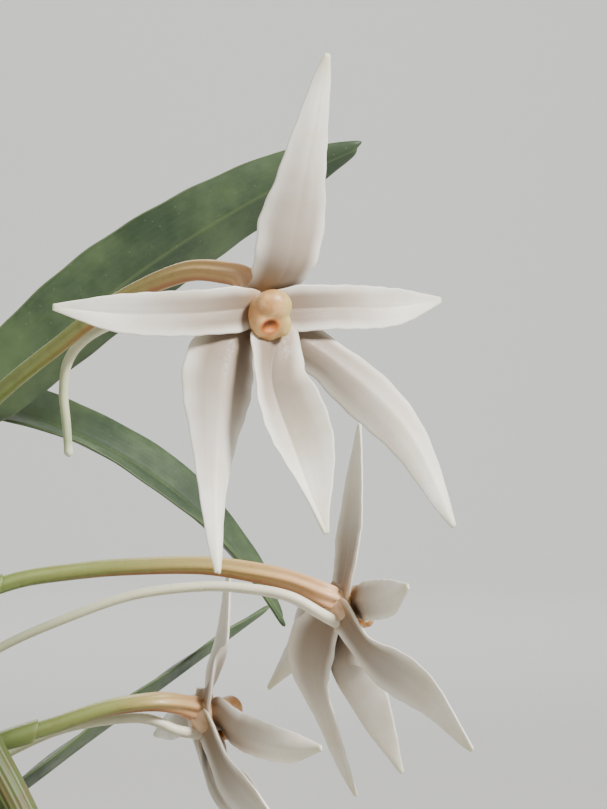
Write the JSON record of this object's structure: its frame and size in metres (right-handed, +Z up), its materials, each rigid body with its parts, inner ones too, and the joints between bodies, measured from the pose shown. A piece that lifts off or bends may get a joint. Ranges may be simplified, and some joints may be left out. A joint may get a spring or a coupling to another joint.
{
  "type": "potted orchid",
  "caption": "Leafy epiphytic orchid in a clay pot of bark: clustered upright stems with two-ranked strap leaves and white star-shaped flowers that trail long slender spurs.",
  "frame": {"origin": "middle of the pot's flat base, on the surface that it stands on", "axes": "+Z up; -Y towards the viewer of the reference picture; +X to that viewer's right"},
  "size_m": [0.152, 0.1389, 0.2532],
  "materials": {
    "clay": "unglazed fired clay with pale mineral bloom",
    "bark": "rough weathered bark chips",
    "stem": "green stem under drying straw-coloured leaf sheaths",
    "leaf": "glossy leathery dark green blade",
    "root": "matt silvery-white velamen with green growing tips",
    "tepal": "waxy, slightly translucent white flower segments",
    "column": "waxy cream with an orange-brown stigma",
    "stalk": "ridged, green shading to salmon towards the flower"
  },
  "bodies": {
    "root": {"bark": "bark", "flower_1_column": "column", "flower_1_dorsal_sepal": "tepal", "flower_1_left_petal": "tepal", "flower_1_left_sepal": "tepal", "flower_1_lip": "tepal", "flower_1_right_petal": "tepal", "flower_1_right_sepal": "tepal", "flower_1_stalk": "stalk", "flower_2_column": "column", "flower_2_dorsal_sepal": "tepal", "flower_2_left_petal": "tepal", "flower_2_left_sepal": "tepal", "flower_2_lip": "tepal", "flower_2_right_petal": "tepal", "flower_2_right_sepal": "tepal", "flower_2_stalk": "stalk", "flower_3_column": "column", "flower_3_dorsal_sepal": "tepal", "flower_3_left_petal": "tepal", "flower_3_left_sepal": "tepal", "flower_3_lip": "tepal", "flower_3_right_petal": "tepal", "flower_3_right_sepal": "tepal", "flower_3_stalk": "stalk", "pot": "clay", "root_1": "root", "root_2": "root", "root_3": "root", "stem_1": "stem", "stem_1_leaf_1": "leaf", "stem_1_leaf_10": "leaf", "stem_1_leaf_11": "leaf", "stem_1_leaf_2": "leaf", "stem_1_leaf_3": "leaf", "stem_1_leaf_4": "leaf", "stem_1_leaf_5": "leaf", "stem_1_leaf_6": "leaf", "stem_1_leaf_7": "leaf", "stem_1_leaf_8": "leaf", "stem_1_leaf_9": "leaf", "stem_2": "stem", "stem_2_leaf_1": "leaf", "stem_2_leaf_10": "leaf", "stem_2_leaf_2": "leaf", "stem_2_leaf_3": "leaf", "stem_2_leaf_4": "leaf", "stem_2_leaf_5": "leaf", "stem_2_leaf_6": "leaf", "stem_2_leaf_7": "leaf", "stem_2_leaf_8": "leaf", "stem_2_leaf_9": "leaf", "stem_3": "stem", "stem_3_leaf_1": "leaf", "stem_3_leaf_2": "leaf", "stem_3_leaf_3": "leaf", "stem_3_leaf_4": "leaf", "stem_3_leaf_5": "leaf", "stem_3_leaf_6": "leaf"}
  },
  "joints": []
}
